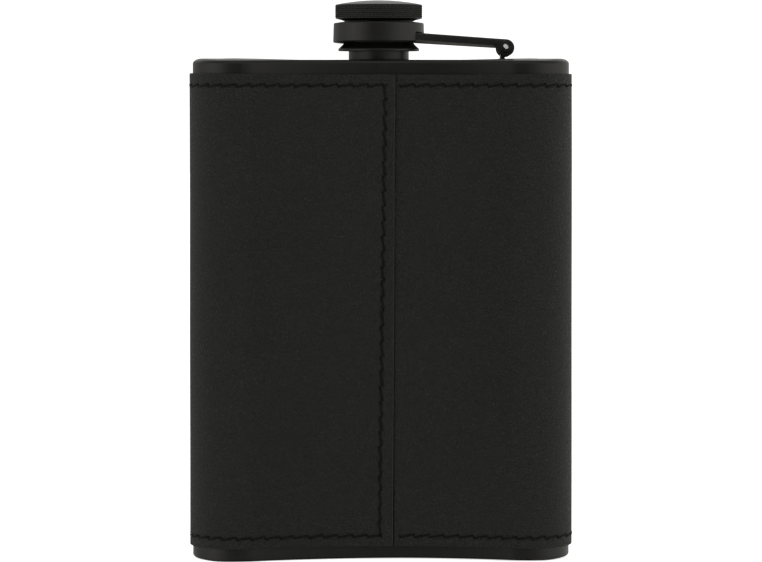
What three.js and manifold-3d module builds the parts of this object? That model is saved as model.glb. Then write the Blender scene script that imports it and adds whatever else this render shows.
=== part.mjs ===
// Hip flask: a curved steel bottle in a stitched leather wrap, with a screw cap held on a hinged arm.
// Millimetres, +Z up. The base stands on z = 0, the hinge lies toward +X and the hollow side faces -Y.

import * as THREE from "three";
import { mergeVertices } from "three/addons/utils/BufferGeometryUtils.js";
import Module from "manifold-3d";

const wasm = await Module();
wasm.setup();

// ---------------------------------------------------------------- driving dimensions

// The bottle's section is a stadium whose middle line is bent to an arc.
const bottle = {
  halfWidth: 46.75,
  halfThickness: 11.5,
  sag: 5.8, // how far the middle of the section lies in front of its ends
  height: 123.75,
  wall: 0.6,
  edgeRadius: 0.9,
  shoulderDepth: 5.5, // skirt of the pressed shoulder, whose weld the leather hides
  baseDepth: 5,
};

const weldGap = 0.3;
const restGap = 0.1;

const leather = {
  low: 3,
  high: 120.15,
  thickness: 0.65,
  rise: 0.4, // how much the skived overlap stands up
  edgeX: 3, // the free edge of the overlap, on the hollow side
  rampStart: 11, // the overlap starts to rise this far before its free edge
  rampEnd: 7,
};

const stitch = {
  topZ: 117.4,
  bottomZ: 5.65,
  seamInset: 2.9, // from the free edge back to the seam
  startInset: 1.4, // from the free edge to where the two rows start
  width: 0.4,
  depth: 0.3,
  proud: 0.05,
  slack: 0.1,
};

// The neck, collar and cap share one axis, a little off the middle and away from the hinge.
const axis = { x: -0.45, y: bottle.sag / 2 };

const thread = { pitch: 1.5, bead: 0.45 };

const neck = {
  radius: 7.53,
  rootRadius: 6.6,
  bore: 5.9,
  plainHeight: 2.7,
  height: 6.6,
  spigotRadius: 6.5,
  spigotDepth: 1.4,
  threadLow: 3.45,
  threadTurns: 1.8,
};

const sleeve = {
  low: 2.3,
  radius: 8.6,
  bore: 7.95,
  ceiling: 8.35,
  top: 11.65,
  flareRadius: 10.12,
  flareLip: 0.45,
  threadLow: 4.4,
  threadTurns: 2.1,
};

const head = {
  low: 9.45,
  rimLow: 10.25,
  rimHigh: 13.8,
  radius: 10.92,
  dome: 1.08,
  chamfer: 0.2,
  socketRadius: 8.7,
  socketTop: 11.85,
};

const gasket = { radius: 7.3, low: 6.8, thickness: 1.4 };

const collar = {
  low: 4.21,
  shoulder: 9.15,
  top: 9.4,
  lowRadius: 11.42,
  highRadius: 11.27,
  holeRadius: 9.5,
  sheet: 0.6,
};

// The hinge pin's middle, and the arm's shape seen from its side and from above.
const hinge = { x: 31.15, z: bottle.height + 2.95 };

const arm = {
  slope: THREE.MathUtils.degToRad(3.8),
  roll: THREE.MathUtils.degToRad(-1.5), // the captive collar sits a little rolled on its loose pin
  earRadius: 2.15,
  sheet: 0.6,
  rootX: -22.75, // places along the arm are measured from the pin
  rootHalfWidth: 6.7,
  neckedX: -4,
  halfWidth: 3.6,
  webEndX: -2.3,
  innerRadius: 10.5,
  boreRadius: 1,
};

const pin = { radius: 0.8, halfLength: 3.95, headRadius: 1.25, headThickness: 0.25 };

const bracket = {
  halfWidth: 2.7,
  eyeRadius: 1.5,
  boreRadius: 0.95,
  postLowX: -1.2,
  postHighX: -0.27,
  footHighX: 2.15,
  footThickness: 0.35,
};

const roundSegments = 60;

// ---------------------------------------------------------------- finishes

const finish = (color, roughness, metalness) => () =>
  new THREE.MeshStandardMaterial({ color, roughness, metalness });
const blackPaint = finish(0x202020, 0.42, 0.35);
const bareSteel = finish(0xb9b5ac, 0.3, 1);
const blackLeather = finish(0x1b1b1c, 0.6, 0);
const waxedThread = finish(0x141414, 0.7, 0);
const whiteSilicone = finish(0xd9d9d2, 0.6, 0);

// ---------------------------------------------------------------- solids

// A closed three.js geometry as a solid that can be joined and cut.
function toSolid(source) {
  const bare = source.clone();
  bare.deleteAttribute("normal");
  bare.deleteAttribute("uv");
  const merged = mergeVertices(bare, 1e-4);
  const triangles = [];
  for (let i = 0; i < merged.index.count; i += 3) {
    const [a, b, c] = [0, 1, 2].map((k) => merged.index.getX(i + k));
    if (a !== b && b !== c && c !== a) triangles.push(a, b, c);
  }
  const mesh = new wasm.Mesh({
    numProp: 3,
    vertProperties: new Float32Array(merged.attributes.position.array),
    triVerts: new Uint32Array(triangles),
  });
  return new wasm.Manifold(mesh);
}

function toGeometry(solid) {
  const mesh = solid.getMesh();
  const geometry = new THREE.BufferGeometry();
  geometry.setAttribute("position", new THREE.BufferAttribute(mesh.vertProperties, 3));
  geometry.setIndex(new THREE.BufferAttribute(mesh.triVerts, 1));
  geometry.computeVertexNormals();
  return geometry;
}

const box = (low, high) => {
  const size = low.map((value, k) => high[k] - value);
  const middle = low.map((value, k) => (high[k] + value) / 2);
  return toSolid(new THREE.BoxGeometry(...size).translate(...middle));
};

const upright = (radius, low, high) =>
  toSolid(
    new THREE.CylinderGeometry(radius, radius, high - low, roundSegments)
      .rotateX(Math.PI / 2)
      .translate(0, 0, (high + low) / 2)
  );

const crosswise = (radius, halfLength, segments = 32) =>
  toSolid(new THREE.CylinderGeometry(radius, radius, 2 * halfLength, segments));

// A profile of [radius, height] points, given anticlockwise, turned about Z.
const turned = (profile) =>
  toSolid(
    new THREE.LatheGeometry(
      profile.map(([r, z]) => new THREE.Vector2(r, z)),
      roundSegments
    ).rotateX(Math.PI / 2)
  );

// A round thread ridge that climbs a helix about Z.
class Helix extends THREE.Curve {
  constructor(radius, low, turns) {
    super();
    Object.assign(this, { radius, low, turns });
  }
  getPoint(t, target = new THREE.Vector3()) {
    const turn = 2 * Math.PI * this.turns * t;
    const climb = this.low + thread.pitch * this.turns * t;
    return target.set(this.radius * Math.cos(turn), this.radius * Math.sin(turn), climb);
  }
}

function threadRidge(radius, low, turns) {
  const section = new THREE.Shape().absarc(0, 0, thread.bead, 0, 2 * Math.PI, false);
  const settings = {
    steps: Math.round(turns * 24),
    curveSegments: 4,
    extrudePath: new Helix(radius, low, turns),
  };
  return toSolid(new THREE.ExtrudeGeometry(section, settings));
}

// ---------------------------------------------------------------- the bottle's section

const midEnd = bottle.halfWidth - bottle.halfThickness;
const midRadius = (midEnd ** 2 + bottle.sag ** 2) / (2 * bottle.sag);
const midAngle = Math.asin(midEnd / midRadius);
const midCentre = new THREE.Vector2(0, bottle.sag / 2 - midRadius);

// The section's arcs, anticlockwise from the seam's free edge and back to it. The hollow side bends
// the other way, so its outward normals point to the middle of its arc.
function sectionArcs() {
  const up = Math.PI / 2;
  const half = bottle.halfThickness;
  const seamAngle = Math.acos(leather.edgeX / (midRadius - half));
  const hollow = { centre: midCentre, radius: midRadius - half, side: -1 };
  const front = { centre: midCentre, radius: midRadius + half, side: 1 };
  const right = { centre: new THREE.Vector2(midEnd, -bottle.sag / 2), radius: half, side: 1 };
  const left = { centre: new THREE.Vector2(-midEnd, -bottle.sag / 2), radius: half, side: 1 };
  return [
    { ...hollow, from: seamAngle, to: up - midAngle, divisions: 14 },
    { ...right, from: -up - midAngle, to: up - midAngle, divisions: 24 },
    { ...front, from: up - midAngle, to: up + midAngle, divisions: 32 },
    { ...left, from: up + midAngle, to: 3 * up + midAngle, divisions: 24 },
    { ...hollow, from: up + midAngle, to: seamAngle, divisions: 20 },
  ];
}

// Points of the steel's surface with their outward normals and the distance along the surface.
function sectionSamples() {
  const found = [];
  for (const { centre, radius, side, from, to, divisions } of sectionArcs()) {
    for (let i = 0; i <= divisions; i += 1) {
      const angle = from + ((to - from) * i) / divisions;
      const outward = new THREE.Vector2(Math.cos(angle), Math.sin(angle));
      const point = outward.clone().multiplyScalar(radius).add(centre);
      const last = found.at(-1);
      const step = last ? point.distanceTo(last.point) : 0;
      const along = last ? last.along + step : 0;
      const joins = last && step < 1e-6;
      if (!joins) found.push({ point, normal: outward.multiplyScalar(side), along });
    }
  }
  return found;
}

const samples = sectionSamples();
const girth = samples.at(-1).along;

// How far the leather's face stands off the steel at a distance along the section.
const leatherFace = (along) =>
  restGap +
  leather.thickness +
  leather.rise *
    THREE.MathUtils.smoothstep(along, girth - leather.rampStart, girth - leather.rampEnd);

const pushed = ({ point, normal }, distance) => point.clone().addScaledVector(normal, distance);

// The whole section, grown by a distance or by a function of the distance along it.
function section(grow) {
  const growth = typeof grow === "function" ? grow : () => grow;
  const points = samples.map((sample) => pushed(sample, growth(sample.along)));
  if (points[0].distanceTo(points.at(-1)) < 1e-6) points.pop();
  return points;
}

// A stretch of the section between two distances along it, as a strip under and over the leather's face.
function faceStrip(from, to, under, over) {
  const inside = samples.filter(({ along }) => along > from && along < to);
  const stretch = [sampleAt(from), ...inside, sampleAt(to)];
  const outer = stretch.map((sample) => pushed(sample, leatherFace(sample.along) + over));
  const inner = stretch.map((sample) => pushed(sample, leatherFace(sample.along) - under));
  return new THREE.Shape([...outer, ...inner.reverse()]);
}

function sampleAt(along) {
  const next = samples.findIndex((sample) => sample.along >= along);
  const [a, b] = [samples[next - 1], samples[next]];
  const share = (along - a.along) / (b.along - a.along);
  return {
    along,
    point: a.point.clone().lerp(b.point, share),
    normal: a.normal.clone().lerp(b.normal, share).normalize(),
  };
}

const prism = (shape, low, high) =>
  toSolid(
    new THREE.ExtrudeGeometry(shape, { depth: high - low, bevelEnabled: false }).translate(0, 0, low)
  );

// A section prism whose upper and lower edges are rounded.
function roundedPrism(grow, low, high, radius, bevelSegments) {
  const settings = {
    depth: high - low - 2 * radius,
    bevelThickness: radius,
    bevelSize: radius,
    bevelOffset: -radius,
    bevelSegments,
  };
  const geometry = new THREE.ExtrudeGeometry(new THREE.Shape(section(grow)), settings);
  return toSolid(geometry.translate(0, 0, low + radius));
}

// A slab of everything between two heights, to keep part of a piece.
const slab = (low, high) => box([-60, -30, low], [60, 30, high]);

// ---------------------------------------------------------------- pieces of the bottle

function bodySleeve() {
  const shape = new THREE.Shape(section(0));
  shape.holes.push(new THREE.Path(section(-bottle.wall)));
  return prism(shape, bottle.baseDepth, bottle.height - bottle.shoulderDepth);
}

// A pressed pan with a rounded edge: the whole closed bottle, hollowed, and cut to one end.
function pan(low, high) {
  const { height, wall, edgeRadius } = bottle;
  const outer = roundedPrism(0, 0, height, edgeRadius, 3);
  const inner = roundedPrism(-wall, wall, height - wall, edgeRadius - wall, 1);
  return outer.subtract(inner).intersect(slab(low, high));
}

function shoulderPlate() {
  const low = bottle.height - bottle.shoulderDepth + weldGap;
  const hole = upright(neck.spigotRadius + 0.2, -2, 2).translate([axis.x, axis.y, bottle.height]);
  return pan(low, bottle.height + 1).subtract(hole);
}

const basePlate = () => pan(-1, bottle.baseDepth - weldGap);

// Heights of the neck, collar and cap are measured from the shoulder's top face.
function neckTube() {
  const lip = 0.3;
  const tube = turned([
    [neck.bore, -neck.spigotDepth],
    [neck.spigotRadius, -neck.spigotDepth],
    [neck.spigotRadius, restGap],
    [neck.radius, restGap],
    [neck.radius, neck.plainHeight],
    [neck.rootRadius, neck.plainHeight + 0.4],
    [neck.rootRadius, neck.height - lip],
    [neck.rootRadius - lip, neck.height],
    [neck.bore + lip, neck.height],
    [neck.bore, neck.height - lip],
    [neck.bore, -neck.spigotDepth],
  ]);
  return tube.add(threadRidge(neck.rootRadius, neck.threadLow, neck.threadTurns));
}

function leatherWrap() {
  const shape = new THREE.Shape(section(leatherFace));
  shape.holes.push(new THREE.Path(section(restGap)));
  const grooves = [
    stitchRow(stitch.topZ, stitch.slack),
    stitchRow(stitch.bottomZ, stitch.slack),
    stitchSeam(stitch.slack),
  ];
  return grooves.reduce((wrap, groove) => wrap.subtract(groove), prism(shape, leather.low, leather.high));
}

// The thread of one row, or with slack the groove that it lies in.
function stitchRow(z, slack = 0) {
  const from = stitch.startInset - slack;
  const to = girth - stitch.seamInset - 2 * stitch.width + slack;
  const strip = faceStrip(from, to, stitch.depth + slack, stitch.proud + 5 * slack);
  return prism(strip, z - stitch.width / 2 - slack, z + stitch.width / 2 + slack);
}

function stitchSeam(slack = 0) {
  const middle = girth - stitch.seamInset;
  const half = stitch.width / 2 + slack;
  const strip = faceStrip(middle - half, middle + half, stitch.depth + slack, stitch.proud + 5 * slack);
  return prism(strip, stitch.bottomZ - half, stitch.topZ + half);
}

// ---------------------------------------------------------------- pieces of the cap

function capHead() {
  const dome = [];
  const domeRadius = head.radius - head.chamfer;
  for (let i = 0; i <= 12; i += 1) {
    const r = domeRadius * (1 - i / 12);
    dome.push([r, head.rimHigh + head.dome * (1 - (r / domeRadius) ** 2)]);
  }
  return turned([
    [0, head.socketTop],
    [head.socketRadius, head.socketTop],
    [head.socketRadius, head.low + 0.35],
    [head.socketRadius + 0.3, head.low + 0.35],
    [head.socketRadius + 0.75, head.rimLow - 0.35],
    [head.radius - 0.9, head.rimLow - 0.1],
    [head.radius - head.chamfer, head.rimLow],
    [head.radius, head.rimLow + head.chamfer],
    [head.radius, head.rimHigh - head.chamfer],
    ...dome,
  ]);
}

function capSleeve() {
  const flareTop = sleeve.low + 1.75;
  const tube = turned([
    [0, sleeve.ceiling],
    [sleeve.bore, sleeve.ceiling],
    [sleeve.bore, flareTop],
    [sleeve.flareRadius - 0.7, sleeve.low],
    [sleeve.flareRadius, sleeve.low],
    [sleeve.flareRadius, sleeve.low + sleeve.flareLip],
    [sleeve.radius + 0.25, flareTop - 0.15],
    [sleeve.radius, flareTop + 0.3],
    [sleeve.radius, sleeve.top],
    [0, sleeve.top],
  ]);
  return tube.add(threadRidge(sleeve.bore + 0.1, sleeve.threadLow, sleeve.threadTurns));
}

const capGasket = () => upright(gasket.radius, gasket.low, gasket.low + gasket.thickness);

// ---------------------------------------------------------------- pieces of the hinged arm

// The arm's outside, along its own length and measured from the pin: seen from the side it runs
// straight into a round ear, and from above it narrows from the collar to the hinge.
function armEnvelope(grow, sink) {
  const radius = arm.earRadius;
  const top = radius + grow;
  const side = new THREE.Shape([
    new THREE.Vector2(arm.rootX - 3, -sink),
    new THREE.Vector2(-radius, -sink),
    ...new THREE.Path().absarc(0, 0, top, Math.PI, 2.5 * Math.PI, false).getPoints(12),
    new THREE.Vector2(arm.rootX - 3, top),
  ]);
  const depth = 4 * arm.rootHalfWidth;
  const sideSolid = toSolid(
    new THREE.ExtrudeGeometry(side, { depth, bevelEnabled: false })
      .translate(0, 0, -depth / 2)
      .rotateX(Math.PI / 2)
  );
  return sideSolid.intersect(armPlan(grow, -20, 20));
}

function armPlan(grow, low, high) {
  const wide = arm.rootHalfWidth + grow;
  const slim = arm.halfWidth + grow;
  const flank = [
    [arm.rootX - 3, wide],
    [arm.rootX, wide],
    [arm.neckedX, slim],
    [arm.earRadius + 2, slim],
  ];
  const mirrored = flank.map(([x, y]) => [x, -y]).reverse();
  const shape = new THREE.Shape([...flank, ...mirrored].map(([x, y]) => new THREE.Vector2(x, y)));
  return prism(shape, low, high);
}

const alongArm = (solid) => solid.rotate([0, THREE.MathUtils.radToDeg(arm.slope), 0]);

// The collar's own axis, seen from the pin.
const collarOffset = [axis.x - hinge.x, 0, bottle.height - hinge.z];

function hingeArm() {
  const underWeb = armPlan(-arm.sheet, -20, arm.earRadius - arm.sheet);
  const betweenEars = box(
    [arm.webEndX, arm.sheet - arm.halfWidth, -20],
    [20, arm.halfWidth - arm.sheet, 20]
  );
  const bore = crosswise(arm.boreRadius, 3 * arm.halfWidth);
  const channel = armEnvelope(0, 0).subtract(underWeb).subtract(betweenEars).subtract(bore);
  return alongArm(channel).subtract(upright(arm.innerRadius, -20, 20).translate(collarOffset));
}

function captiveCollar() {
  const { low, shoulder, top, lowRadius, highRadius, holeRadius, sheet } = collar;
  const cup = turned([
    [lowRadius - sheet, low],
    [lowRadius, low],
    [highRadius, shoulder - 0.2],
    [highRadius - 0.2, shoulder],
    [holeRadius, top],
    [holeRadius, top - sheet],
    [highRadius - sheet - 0.1, shoulder - sheet],
    [lowRadius - sheet, low],
  ]);
  const notch = alongArm(armEnvelope(weldGap, 3));
  return cup.translate(collarOffset).subtract(notch);
}

function hingeBracket() {
  const { halfWidth, eyeRadius, boreRadius, postLowX, postHighX, footHighX, footThickness } = bracket;
  const ground = bottle.height - hinge.z + restGap;
  const post = box([postLowX, -halfWidth, ground], [postHighX, halfWidth, 0]);
  const foot = box([postLowX, -halfWidth, ground], [footHighX, halfWidth, ground + footThickness]);
  const eye = crosswise(eyeRadius, halfWidth);
  return eye.add(post).add(foot).subtract(crosswise(boreRadius, 2 * halfWidth));
}

// A plain pin with its two ends peened over the ears.
function hingePin() {
  const { radius, halfLength, headRadius, headThickness } = pin;
  const shank = crosswise(radius, halfLength + headThickness);
  const heads = [-1, 1].map((end) =>
    crosswise(headRadius, headThickness / 2).translate([0, end * (halfLength + headThickness / 2), 0])
  );
  return heads.reduce((whole, one) => whole.add(one), shank);
}

// ---------------------------------------------------------------- assembly

const flask = new THREE.Group();

function place(parent, name, solid, material) {
  const mesh = new THREE.Mesh(toGeometry(solid), material());
  mesh.name = name;
  parent.add(mesh);
}

place(flask, "body_sleeve", bodySleeve(), blackPaint);
place(flask, "shoulder_plate", shoulderPlate(), blackPaint);
place(flask, "base_plate", basePlate(), blackPaint);
place(flask, "leather_wrap", leatherWrap(), blackLeather);
place(flask, "stitch_row_top", stitchRow(stitch.topZ), waxedThread);
place(flask, "stitch_row_bottom", stitchRow(stitch.bottomZ), waxedThread);
place(flask, "stitch_seam", stitchSeam(), waxedThread);

const mouth = new THREE.Group();
mouth.position.set(axis.x, axis.y, bottle.height);
flask.add(mouth);
place(mouth, "neck_tube", neckTube(), blackPaint);
place(mouth, "cap_head", capHead(), blackPaint);
place(mouth, "cap_sleeve", capSleeve(), blackPaint);
place(mouth, "cap_gasket", capGasket(), whiteSilicone);

const pivot = new THREE.Group();
pivot.position.set(hinge.x, axis.y, hinge.z);
flask.add(pivot);
place(pivot, "hinge_bracket", hingeBracket(), blackPaint);
place(pivot, "hinge_pin", hingePin(), bareSteel);

const rolled = new THREE.Group();
rolled.rotation.x = arm.roll;
pivot.add(rolled);
place(rolled, "captive_collar", captiveCollar(), blackPaint);
place(rolled, "hinge_arm", hingeArm(), blackPaint);

export default flask;
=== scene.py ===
"""The looks of a hip flask in a stitched leather wrap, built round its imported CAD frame."""

import math

import bmesh
import bpy
import numpy as np
from mathutils import Matrix, Vector


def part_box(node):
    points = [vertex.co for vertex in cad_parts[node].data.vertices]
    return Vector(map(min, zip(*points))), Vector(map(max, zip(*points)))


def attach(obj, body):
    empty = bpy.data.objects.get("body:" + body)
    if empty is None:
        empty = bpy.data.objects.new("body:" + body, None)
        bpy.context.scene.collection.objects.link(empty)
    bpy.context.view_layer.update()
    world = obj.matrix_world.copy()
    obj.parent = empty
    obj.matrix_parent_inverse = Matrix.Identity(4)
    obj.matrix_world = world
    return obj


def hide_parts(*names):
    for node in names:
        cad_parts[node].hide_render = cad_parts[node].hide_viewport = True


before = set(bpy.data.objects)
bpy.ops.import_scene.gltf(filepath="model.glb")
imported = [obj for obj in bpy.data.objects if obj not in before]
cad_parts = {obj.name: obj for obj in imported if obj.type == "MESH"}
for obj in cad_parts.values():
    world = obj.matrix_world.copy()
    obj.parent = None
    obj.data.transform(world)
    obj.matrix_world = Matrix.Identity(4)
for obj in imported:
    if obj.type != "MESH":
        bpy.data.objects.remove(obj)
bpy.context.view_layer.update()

# ------------------------------------------------------------------ sizes, in millimetres

MM = 0.001


def box_mm(node):
    """A CAD node's lowest and highest corners, in millimetres."""
    low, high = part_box(node)
    return np.array(low) / MM, np.array(high) / MM


SHOULDER_LOW, TOP = (corner[2] for corner in box_mm("shoulder_plate"))
BASE_HIGH = box_mm("base_plate")[1][2]
CAP_AXIS = sum(box_mm("cap_gasket"))[:2] / 2
PIN = sum(box_mm("hinge_pin")) / 2
LEATHER_LOW, LEATHER_HIGH = (corner[2] for corner in box_mm("leather_wrap"))
ROW_LOW, ROW_HIGH = (sum(box_mm(f"stitch_row_{end}"))[2] / 2 for end in ("bottom", "top"))

# The bottle's section: a stadium whose middle line is bent to an arc.
HALF_WIDTH = 46.75
HALF_THICKNESS = 11.5
SAG = 5.8  # how far the middle line bows
WALL = 0.6
# The rounding of the pans' edges, as (inward, along the height): all round, and at the bottle's two ends.
TOP_ROUNDING = (0.9, 0.9), (2.2, 1.3)
FOOT_ROUNDING = (0.5, 0.5), (1.6, 0.9)
SPREAD = 0.0052  # how much wider the bottle is at its base, as a share
CROWN = 0.35  # how much the shoulder swells between its edges, toward its two ends
FOOT_DROP = 0.12, 0.14  # how much lower than its level the base is on the arm's far side, and at its two ends

SKIN = 0.1  # between the steel and the leather
HIDE = 0.65  # the leather's thickness
LAP = 8.0  # how far the strip runs on under its own end
EDGE_X = 3.1  # where the overlap's free edge lies, on the hollow side
EDGE_LEAN = 0.5  # how much further it lies toward the hinge at the top than at the bottom
SEAM_INSET = 2.6  # from the free edge to the near side of the seam
SEAM_LEAN = 0.65  # how far each end of the seam lies off a line straight down the strip
STITCH = 3.7  # from one hole to the next
SLANT = 0.31  # how far each end of a stitch lies off its row
STITCH_GAP = 0.1  # between a stitch's end and the middle of its hole
THREAD_RADIUS = 0.2

COLLAR_ROLL = math.radians(-1.5)  # how the loose collar and its arm lean
ARM_SLOPE = math.radians(3.8)
EAR = 2.15  # the radius of the arm's ears
SHEET = 0.6  # the arm's sheet metal

# The studio's light, as stops of (degrees, brightness). For the walls, what lies just under them and what
# lies far under them, the degrees go round from straight before the object, toward the hinge positive.
# Over the walls, they go up from the front horizon, over the top and down to the back one.
WALL_LIGHT = [
    (-180, 0.55),
    (-172, 0.4),
    (-160, 0.3),
    (-140, 0.36),
    (-112, 0.42),
    (-96, 0.56),
    (-78, 0.86),
    (-63, 0.9),
    (-49, 0.74),
    (-38, 0.5),
    (-28, 0.22),
    (-20, 0.06),
    (-10, 0.04),
    (0, 0.06),
    (8, 0.13),
    (18, 0.26),
    (30, 0.45),
    (45, 0.68),
    (60, 0.82),
    (78, 0.84),
    (95, 0.76),
    (120, 0.6),
    (142, 0.56),
    (160, 0.64),
    (172, 0.7),
    (180, 0.55),
]
LOW_LIGHT = [
    (-180, 0.4),
    (-120, 0.36),
    (-96, 0.5),
    (-63, 0.66),
    (-40, 0.42),
    (-25, 0.3),
    (20, 0.3),
    (35, 0.24),
    (45, 0.4),
    (60, 0.6),
    (95, 0.64),
    (140, 0.6),
    (180, 0.4),
]
UNDER_LIGHT = [
    (-180, 0.03),
    (-130, 0.3),
    (-60, 0.4),
    (-28, 0.04),
    (28, 0.04),
    (60, 0.4),
    (130, 0.3),
    (180, 0.03),
]
OVER_LIGHT = [
    (0, 0.76),
    (25, 0.66),
    (45, 0.44),
    (70, 0.28),
    (90, 0.3),
    (115, 0.45),
    (140, 0.6),
    (160, 0.78),
    (180, 0.88),
]

KNURLS = 68  # grooves of each slant round the cap's rim
KNURL_ROWS = 3.4  # diamonds up its height
KNURL_DEPTH = 0.42


# ------------------------------------------------------------------ mesh work


def loft(rings, around=True, along=False, caps=False):
    """Quads between successive rings of points, given as an array of ring, point and coordinate."""
    rings = np.asarray(rings, float)
    count, size = rings.shape[:2]
    index = np.arange(count * size).reshape(count, size)
    across = np.concatenate([index, index[:, :1]], axis=1) if around else index
    grid = np.concatenate([across, across[:1]], axis=0) if along else across
    quads = np.stack([grid[:-1, :-1], grid[:-1, 1:], grid[1:, 1:], grid[1:, :-1]], axis=-1)
    faces = quads.reshape(-1, 4).tolist()
    if caps:
        faces += [index[0][::-1].tolist(), index[-1].tolist()]
    return rings.reshape(-1, 3), faces


def joined(parts):
    """Several (points, faces) as one."""
    points, faces, start = [], [], 0
    for part_points, part_faces in parts:
        points.append(part_points)
        faces += [[start + i for i in face] for face in part_faces]
        start += len(part_points)
    return np.concatenate(points), faces


def new_object(name, part, sharp=40):
    """An object from (points in millimetres, faces), merged, closed and facing out."""
    points, faces = part
    mesh = bpy.data.meshes.new(name)
    mesh.from_pydata((points * MM).tolist(), [], faces)
    work = bmesh.new()
    work.from_mesh(mesh)
    bmesh.ops.remove_doubles(work, verts=work.verts, dist=1e-7)
    bmesh.ops.dissolve_degenerate(work, edges=work.edges, dist=1e-8)
    bmesh.ops.recalc_face_normals(work, faces=work.faces)
    work.to_mesh(mesh)
    work.free()
    made = bpy.data.objects.new(name, mesh)
    bpy.context.scene.collection.objects.link(made)
    shade(made, sharp)
    return made


def shade(made, sharp):
    made.data.shade_smooth()
    made.data.set_sharp_from_angle(angle=math.radians(sharp))


def settle(made):
    """Makes an object's modifiers part of its mesh."""
    bpy.context.view_layer.update()
    shaped = made.evaluated_get(bpy.context.evaluated_depsgraph_get())
    mesh = bpy.data.meshes.new_from_object(shaped)
    made.modifiers.clear()
    made.data = mesh
    mesh.name = made.name


def combine(made, operation, other):
    """Joins, cuts or keeps the overlap of made with another object, which is used up."""
    step = made.modifiers.new("solid", "BOOLEAN")
    step.operation = operation
    step.solver = "EXACT"
    step.object = other
    settle(made)
    bpy.data.objects.remove(other)


def soften(made, width, sharp=40):
    """Rounds an object's hard edges a little, as deburring and paint do."""
    step = made.modifiers.new("edges", "BEVEL")
    step.width = width * MM
    step.segments = 3
    step.limit_method = "ANGLE"
    step.angle_limit = math.radians(sharp)
    step.use_clamp_overlap = True
    step.harden_normals = False
    settle(made)
    shade(made, sharp)


def turn(made, angle, axis, about=(0, 0, 0)):
    """Turns an object's mesh about a point, in millimetres."""
    place = Matrix.Translation(Vector(about) * MM)
    made.data.transform(place @ Matrix.Rotation(angle, 4, axis) @ place.inverted())


def move(made, offset):
    made.data.transform(Matrix.Translation(Vector(offset) * MM))


def finish_piece(made, body, materials, replaces=()):
    """Gives a piece its materials and its body, and says which CAD nodes it stands for."""
    made.data.materials.clear()
    for material in materials:
        made.data.materials.append(material)
    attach(made, body)
    if replaces:
        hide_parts(*replaces)
    return made


def faces_of(made):
    """The middles, in millimetres, and the normals of an object's faces."""
    found = []
    for what, unit in (("center", MM), ("normal", 1)):
        values = np.empty(3 * len(made.data.polygons))
        made.data.polygons.foreach_get(what, values)
        found.append(values.reshape(-1, 3) / unit)
    return found


def paint_faces(made, chosen):
    """Gives the chosen faces the second of an object's materials."""
    made.data.polygons.foreach_set("material_index", np.asarray(chosen, dtype=np.int32))


# ------------------------------------------------------------------ outlines


def smoothstep(low, high, value):
    share = np.clip((value - low) / (high - low), 0, 1)
    return share * share * (3 - 2 * share)


def filleted(profile, radius, closed=False, steps=4, support=0.06):
    """A profile with its corners rounded, and a close point beside each so that flats shade flat."""
    points = [np.array(p, float) for p in profile]
    count = len(points)
    result = []
    for i, corner in enumerate(points):
        if not closed and i in (0, count - 1):
            result.append(corner)
            continue
        before, after = points[i - 1], points[(i + 1) % count]
        to_before, to_after = before - corner, after - corner
        lengths = np.linalg.norm(to_before), np.linalg.norm(to_after)
        reach = min(radius, 0.4 * min(lengths))
        start, end = (reach * d / n for d, n in zip((to_before, to_after), lengths))
        result.append(corner + start * (1 + support))
        for t in np.linspace(0, 1, steps + 1):
            result.append(corner + (1 - t) ** 2 * start + t**2 * end)
        result.append(corner + end * (1 + support))
    return np.array(result)


def revolved(profile, segments=128, along=False):
    """A profile of (radius, height) turned about Z. It starts and ends on the axis, or along closes it."""
    angle = np.linspace(0, 2 * np.pi, segments, endpoint=False)
    profile = np.asarray(profile, float)
    radius, height = profile[:, :1], profile[:, 1:]
    rings = [radius * np.cos(angle), radius * np.sin(angle), height + 0 * angle]
    return loft(np.stack(rings, axis=-1), along=along)


def thread_ridge(radius, bead, low, turns, pitch, inward=False):
    """A helical ridge whose ends run out into the wall that it stands on."""
    count = round(turns * 60)
    share = np.linspace(0, 1, count)[:, None]
    angle = 2 * np.pi * turns * share
    ends = smoothstep(0, 0.08, share) * smoothstep(0, 0.08, 1 - share)
    size = bead * (0.15 + 0.85 * ends)
    sink = bead * (1 - ends) * (1 if inward else -1)
    section = np.linspace(0, 2 * np.pi, 12, endpoint=False)
    out = radius + sink + size * np.cos(section)
    rings = [out * np.cos(angle), out * np.sin(angle), low + pitch * turns * share + size * np.sin(section)]
    return loft(np.stack(rings, axis=-1), caps=True)


def section_arcs():
    """The section's arcs as (centre, radius, side, from, to), anticlockwise from the overlap's free edge."""
    reach = HALF_WIDTH - HALF_THICKNESS
    bend = (reach**2 + SAG**2) / (2 * SAG)
    half_angle = math.asin(reach / bend)
    up = math.pi / 2
    centre = np.array([0, SAG / 2 - bend])
    right = np.array([reach, -SAG / 2])
    left = right * [-1, 1]
    hollow = bend - HALF_THICKNESS
    front = bend + HALF_THICKNESS
    edge = math.acos(EDGE_X / hollow)
    return [
        (centre, hollow, -1, edge, up - half_angle),
        (right, HALF_THICKNESS, 1, -up - half_angle, up - half_angle),
        (centre, front, 1, up - half_angle, up + half_angle),
        (left, HALF_THICKNESS, 1, up + half_angle, 3 * up + half_angle),
        (centre, hollow, -1, up + half_angle, edge),
    ]


ARCS = section_arcs()
ARC_LENGTHS = [abs(to - start) * radius for _, radius, _, start, to in ARCS]
GIRTH = sum(ARC_LENGTHS)
SEAM_MIDDLE = GIRTH - SEAM_INSET - 0.35  # where the seam's stitches lie halfway up


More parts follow.
